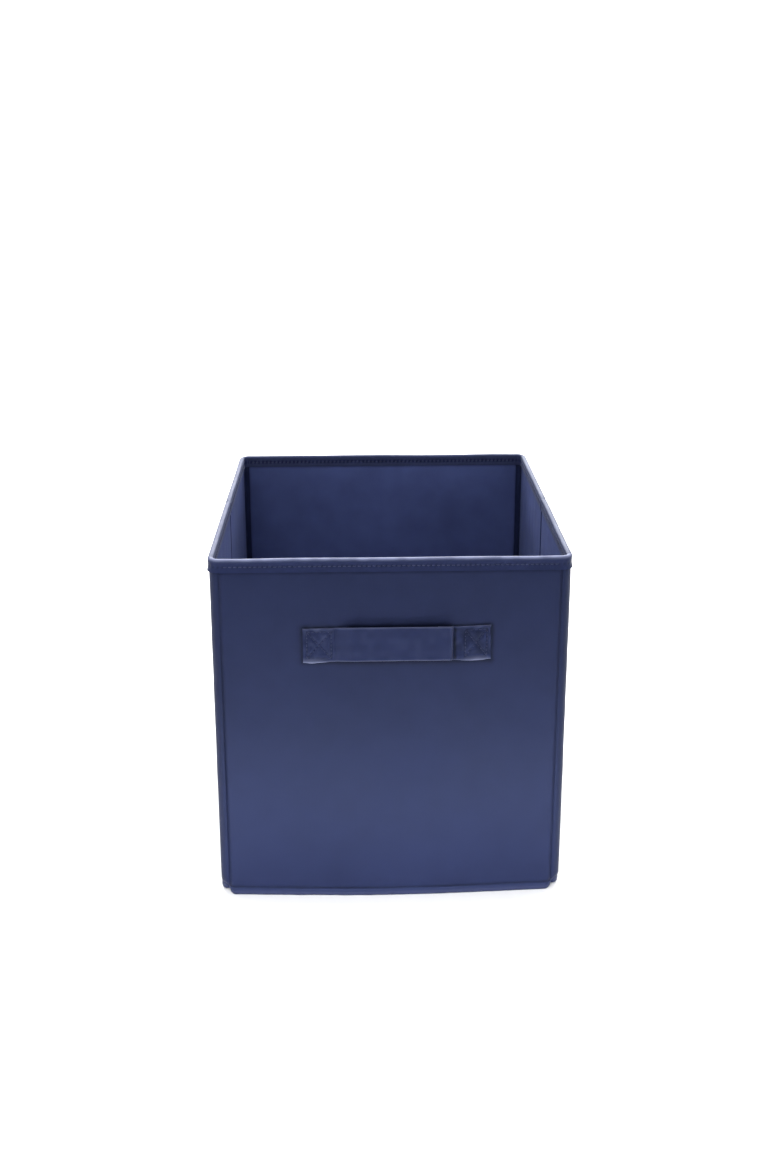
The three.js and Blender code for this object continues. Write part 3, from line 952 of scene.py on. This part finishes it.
def make_strap(name, points):
    path, normal, at = strap_path(points)
    across = np.sin(np.linspace(-math.pi / 2, math.pi / 2, 27))
    half_width = (STRAP_HIGH - STRAP_LOW) / 2
    middle = (STRAP_HIGH + STRAP_LOW) / 2
    z = np.broadcast_to(middle + across * half_width, (len(path), len(across)))
    x, y = (np.broadcast_to(path[:, k:k + 1], z.shape) for k in (0, 1))
    # The folded edges are a little fuller than the middle, and round off
    edge = 0.16 * MM * np.exp(-((1 - np.abs(across)) * half_width / (1.3 * MM)) ** 2)
    half = (STRAP / 2 - 0.05 * MM + edge) * np.sqrt(np.clip(1 - np.abs(across) ** 24, 0.02, 1))
    skew = STRAP_SKEW * smooth((x - SEWN_RIGHT[0]) / (SEWN_RIGHT[1] - SEWN_RIGHT[0]))
    skew = skew + 0.3 * MM * ripple(93, x, z * 0, 35 * MM) + 0.4 * (SEWN_Y - y)

    def face(sign):
        off = sign * half + (strap_relief(x, y, z) if sign > 0 else 0)
        return np.stack([x + normal[:, :1] * off, y + normal[:, 1:] * off + flare(x, y, z), z + skew], -1)

    places = np.stack(np.broadcast_arrays(at[:, None] + path[0, 0], z), -1)
    to_edge = (1 - np.abs(across)) * half_width
    return solid_between(name, face(1), face(-1), places, sharp_angle=70,
                         pressed=strap_tone_and_painted_light(x, y, z, to_edge)), at[-1]


def box_stitches(name, sewn, y):
    """The box-and-cross seam through a sewn end of the strap, as separate stitches."""
    pitch, length = 3.0 * MM, 2.3 * MM
    left, right, low, high = stitched_box(sewn)
    corners = [(left, low), (right, low), (right, high), (left, high)]
    lines = [(corners[k], corners[(k + 1) % 4]) for k in range(4)]
    lines += [(corners[0], corners[2]), (corners[1], corners[3])]
    starts, ends = [], []
    for a, b in lines:
        a, b = np.array(a), np.array(b)
        span = np.linalg.norm(b - a)
        count = max(1, round(span / pitch))
        for k in range(count):
            begin = a + (b - a) * (k + 0.12) / count
            finish = begin + (b - a) / span * min(length, span / count * 0.78)
            starts.append(np.array([begin[0], y, begin[1]]))
            ends.append(np.array([finish[0], y, finish[1]]))
    normals = [np.array([0.0, -1.0, 0.0])] * len(starts)
    made = stitches(name, starts, ends, normals, THREAD * 0.42)
    skew = STRAP_SKEW if sewn is SEWN_RIGHT else 0
    for vertex in made.data.vertices:
        vertex.co.z += skew * float(smooth((vertex.co.x - sewn[0]) / (sewn[1] - sewn[0])))
    return made


def add_handle():
    """The strap in three pieces, which meet out of sight inside the slack fold at its right."""
    grip, grip_length = make_strap("handle_grip_strap", [
        (SEWN_LEFT[0], SEWN_Y), (SEWN_LEFT[1], SEWN_Y), (GRIP_LEFT, GRIP_Y),
        *arc_points(FRONT_BEND, BEND, -90, 90)])
    fold, fold_length = make_strap("handle_fold_strap", [
        (FRONT_BEND[0] - 0.2 * MM, FRONT_BEND[1] + BEND), *arc_points(BACK_BEND, BEND, -90, -270),
        (TUCK_X - 0.2 * MM, SEWN_Y)])
    end, end_length = make_strap("handle_right_strap", [(TUCK_X, SEWN_Y), (SEWN_RIGHT[1], SEWN_Y)])
    dress(grip, STRAP_CLOTH, "strap", "handle_left_end", "handle_left_run", "handle_grip")
    dress(fold, STRAP_CLOTH, "strap", "handle_slack_fold")
    dress(end, STRAP_CLOTH, "strap", "handle_right_end")
    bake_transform(grip)
    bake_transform(fold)
    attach(end, "front_wall")
    for side, sewn in (("left", SEWN_LEFT), ("right", SEWN_RIGHT)):
        thread = box_stitches(f"handle_{side}_thread", sewn, SEWN_Y - STRAP / 2 + 0.05 * MM)
        dress(thread, SEWING_THREAD, "thread", f"handle_{side}_stitch")
        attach(thread, "front_wall")


add_handle()

# The insert's board stays as the frame has it, inside its cloth
insert_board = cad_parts["insert_board"]
insert_board.data.materials.clear()
insert_board.data.materials.append(PRESSED_BOARD)


# ---------------------------------------------------------------- studio
def make_studio():
    """A pale floor that curves up all round into a backdrop."""
    flat, bend, top = 1.9, 1.1, 3.2
    profile = [(r, 0.0) for r in np.linspace(0.05, flat, 8)]
    profile += [(flat + bend * math.sin(a), bend - bend * math.cos(a))
                for a in np.linspace(0, math.pi / 2, 13)[1:]]
    profile.append((flat + bend, top))
    spokes = 64
    around = np.linspace(0, 2 * math.pi, spokes, endpoint=False)
    points = [(0.0, 0.0, 0.0)]
    points += [(r * math.cos(a), r * math.sin(a), z) for r, z in profile for a in around]
    faces = [(0, 1 + k, 1 + (k + 1) % spokes) for k in range(spokes)]
    for ring in range(len(profile) - 1):
        for k in range(spokes):
            a, b = 1 + ring * spokes + k, 1 + ring * spokes + (k + 1) % spokes
            faces.append((a, a + spokes, b + spokes, b))
    floor = new_mesh("studio_floor", points, faces, [(p[0], p[1]) for p in points], 180)
    made, _, shader = new_material("studio_paper")
    shader.inputs["Base Color"].default_value = (0.92, 0.923, 0.93, 1)
    shader.inputs["Roughness"].default_value = 0.85
    shader.inputs["Specular IOR Level"].default_value = 0.15
    floor.data.materials.append(made)


def add_light(name, place, aim, size, power):
    data = bpy.data.lights.new(name, "AREA")
    data.shape = "RECTANGLE"
    data.size, data.size_y = size
    data.energy = power
    data.spread = math.pi
    light = new_object(name, data)
    light.visible_camera = False
    light.location = place
    light.rotation_euler = (Vector(aim) - Vector(place)).to_track_quat("-Z", "Y").to_euler()


def add_camera():
    """The camera looks a little down and from just left of the bin's middle, from 0.8 m in front of it."""
    data = bpy.data.cameras.new("camera")
    data.sensor_width = 36
    data.lens = 36.3
    data.shift_y = -0.15
    camera = new_object("camera", data)
    camera.location = (-0.023, -0.9305, 0.5994)
    pitch, turn = math.radians(14.57), math.radians(1.6)
    camera.rotation_euler = (math.pi / 2 - pitch, 0, -turn)
    bpy.context.scene.camera = camera


def light_scene():
    world = bpy.data.worlds.new("studio")
    bpy.context.scene.world = world
    world.use_nodes = True
    background = world.node_tree.nodes["Background"]
    background.inputs["Color"].default_value = (1, 1, 1, 1)
    background.inputs["Strength"].default_value = 0.5
    add_light("overhead", (0, 0.5, 2.0), (0, 0.1, 0), (1.8, 1.4), 40)
    add_light("rim_light", (0, 1.9, 1.35), (0, -0.1, 0.28), (2.6, 1.0), 90)
    add_light("key", (-0.4, -1.25, 1.8), (0, 0, 0.15), (0.8, 0.7), 13)
    add_light("floor_card", (0, -0.274, 0.02), (0, -HALF_DEPTH, 0.02), (0.5, 0.04), 0.8)
    bpy.context.scene.view_settings.view_transform = "Standard"


make_studio()
add_camera()
light_scene()
